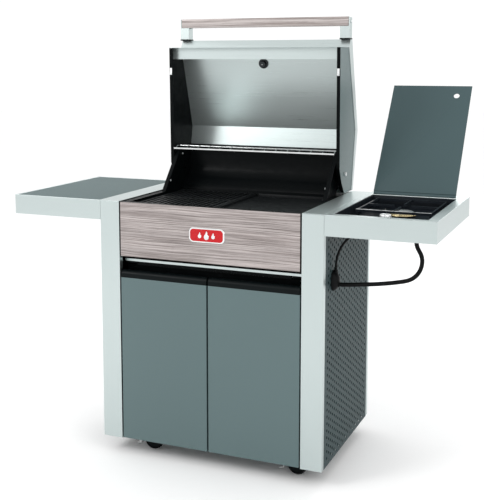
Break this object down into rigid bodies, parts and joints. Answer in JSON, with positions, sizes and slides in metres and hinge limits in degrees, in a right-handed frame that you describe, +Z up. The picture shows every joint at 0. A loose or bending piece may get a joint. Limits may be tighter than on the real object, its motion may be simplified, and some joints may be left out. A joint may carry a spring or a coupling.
{
  "type": "gas barbecue grill",
  "caption": "Gas barbecue on a two-door castor trolley with a raised double-skinned hood, a flat side shelf and a side burner with lifting lid.",
  "frame": {"origin": "on the floor, under the middle of the grill's overall box (the raised burner lid is its rearmost point)", "axes": "+Z up, -Y the front with the doors and fascia, +X the side-burner side; millimetre design turned into metres"},
  "size_m": [1.55, 0.8, 1.5673],
  "materials": {
    "stainless": "brushed stainless steel",
    "grey_paint": "satin grey powder coat",
    "dark_paint": "dark grey powder coat",
    "black_enamel": "black enamel",
    "cast_iron": "black enamelled cast iron",
    "wood_effect_steel": "pale wood-grain film on steel",
    "wood_effect_bar": "pale wood-grain finish",
    "chrome": "polished",
    "brass": "machined brass",
    "black_plastic": "moulded black",
    "rubber": "black rubber",
    "wheel_rubber": "black castor tread"
  },
  "bodies": {
    "trolley": {"base_shelf": "dark_paint", "back_panel": "dark_paint", "side_panel_left": "dark_paint", "side_panel_right": "dark_paint", "recess_rail": "black_enamel", "firebox": "black_enamel", "side_burner_bowl": "black_enamel", "control_panel": "stainless", "shelf_left_frame": "stainless", "shelf_right_frame": "stainless", "side_trim_left": "stainless", "side_trim_right": "stainless", "shelf_left_top": "grey_paint", "grill_plate": "cast_iron", "hot_plate": "cast_iron", "side_burner_trivet": "cast_iron", "warming_rack": "chrome", "side_burner_cap": "chrome", "side_burner_head": "brass", "side_burner_valve": "brass", "gas_manifold": "brass", "hose_grommet": "rubber", "gas_hose": "rubber", "ignition_lead": "rubber", "post_front_left": "stainless", "post_rear_left": "stainless", "post_front_right": "stainless", "post_rear_right": "stainless", "burner_left": "cast_iron", "flame_tamer_left": "stainless", "burner_middle": "cast_iron", "flame_tamer_middle": "stainless", "burner_right": "cast_iron", "flame_tamer_right": "stainless"},
    "hood": {"hood_shell": "stainless", "hood_end_left": "grey_paint", "hood_end_right": "grey_paint", "handle_bar": "wood_effect_bar", "handle_post_left": "chrome", "handle_post_right": "chrome", "thermometer": "chrome"},
    "burner_lid": {"side_burner_lid": "grey_paint"},
    "door_left": {"door_left": "grey_paint", "door_grip_left": "black_plastic"},
    "door_right": {"door_right": "grey_paint", "door_grip_right": "black_plastic"},
    "fascia": {"fascia_panel": "wood_effect_steel"},
    "knob_left": {"knob_left": "black_plastic"},
    "knob_middle": {"knob_middle": "black_plastic"},
    "knob_right": {"knob_right": "black_plastic"},
    "side_knob": {"side_burner_knob": "chrome"},
    "drip_tray": {"drip_tray": "stainless"},
    "fork_front_left": {"caster_fork_front_left": "black_plastic"},
    "wheel_front_left": {"caster_wheel_front_left": "wheel_rubber"},
    "fork_front_right": {"caster_fork_front_right": "black_plastic"},
    "wheel_front_right": {"caster_wheel_front_right": "wheel_rubber"},
    "fork_rear_left": {"caster_fork_rear_left": "black_plastic"},
    "wheel_rear_left": {"caster_wheel_rear_left": "wheel_rubber"},
    "fork_rear_right": {"caster_fork_rear_right": "black_plastic"},
    "wheel_rear_right": {"caster_wheel_rear_right": "wheel_rubber"}
  },
  "joints": [
    {"name": "hood_hinge", "type": "hinge", "parent": "trolley", "child": "hood", "pos_m": [0, 0.07, 0.995], "axis": [1, 0, 0], "range_deg": [0, 90]},
    {"name": "burner_lid_hinge", "type": "hinge", "parent": "trolley", "child": "burner_lid", "pos_m": [0.589, 0.112, 0.924], "axis": [1, 0, 0], "range_deg": [0, 127.1]},
    {"name": "door_left_hinge", "type": "hinge", "parent": "trolley", "child": "door_left", "pos_m": [-0.3305, -0.397, 0.36], "axis": [0, 0, -1], "range_deg": [0, 110]},
    {"name": "door_right_hinge", "type": "hinge", "parent": "trolley", "child": "door_right", "pos_m": [0.3305, -0.397, 0.36], "axis": [0, 0, 1], "range_deg": [0, 110]},
    {"name": "fascia_hinge", "type": "hinge", "parent": "trolley", "child": "fascia", "pos_m": [0, -0.397, 0.729], "axis": [1, 0, 0], "range_deg": [0, 90]},
    {"name": "knob_left_turn", "type": "hinge", "parent": "trolley", "child": "knob_left", "pos_m": [-0.206, -0.355, 0.795], "axis": [0, -1, 0], "range_deg": [0, 180]},
    {"name": "knob_middle_turn", "type": "hinge", "parent": "trolley", "child": "knob_middle", "pos_m": [0, -0.355, 0.795], "axis": [0, -1, 0], "range_deg": [0, 180]},
    {"name": "knob_right_turn", "type": "hinge", "parent": "trolley", "child": "knob_right", "pos_m": [0.206, -0.355, 0.795], "axis": [0, -1, 0], "range_deg": [0, 180]},
    {"name": "side_knob_turn", "type": "hinge", "parent": "trolley", "child": "side_knob", "pos_m": [0.58, -0.27, 0.9], "axis": [0, 0, 1], "range_deg": [0, 180]},
    {"name": "drip_tray_slide", "type": "slide", "parent": "trolley", "child": "drip_tray", "axis": [0, -1, 0], "range_m": [0, 0.35]},
    {"name": "caster_front_left_swivel", "type": "hinge", "parent": "trolley", "child": "fork_front_left", "pos_m": [-0.277, -0.316, 0.08], "axis": [0, 0, 1], "continuous": true},
    {"name": "caster_front_left_roll", "type": "hinge", "parent": "fork_front_left", "child": "wheel_front_left", "pos_m": [-0.252, -0.316, 0.035], "axis": [0, 1, 0], "continuous": true},
    {"name": "caster_front_right_swivel", "type": "hinge", "parent": "trolley", "child": "fork_front_right", "pos_m": [0.277, -0.316, 0.08], "axis": [0, 0, 1], "continuous": true},
    {"name": "caster_front_right_roll", "type": "hinge", "parent": "fork_front_right", "child": "wheel_front_right", "pos_m": [0.302, -0.316, 0.035], "axis": [0, 1, 0], "continuous": true},
    {"name": "caster_rear_left_swivel", "type": "hinge", "parent": "trolley", "child": "fork_rear_left", "pos_m": [-0.277, 0.08, 0.08], "axis": [0, 0, 1], "continuous": true},
    {"name": "caster_rear_left_roll", "type": "hinge", "parent": "fork_rear_left", "child": "wheel_rear_left", "pos_m": [-0.252, 0.08, 0.035], "axis": [0, 1, 0], "continuous": true},
    {"name": "caster_rear_right_swivel", "type": "hinge", "parent": "trolley", "child": "fork_rear_right", "pos_m": [0.277, 0.08, 0.08], "axis": [0, 0, 1], "continuous": true},
    {"name": "caster_rear_right_roll", "type": "hinge", "parent": "fork_rear_right", "child": "wheel_rear_right", "pos_m": [0.302, 0.08, 0.035], "axis": [0, 1, 0], "continuous": true}
  ]
}
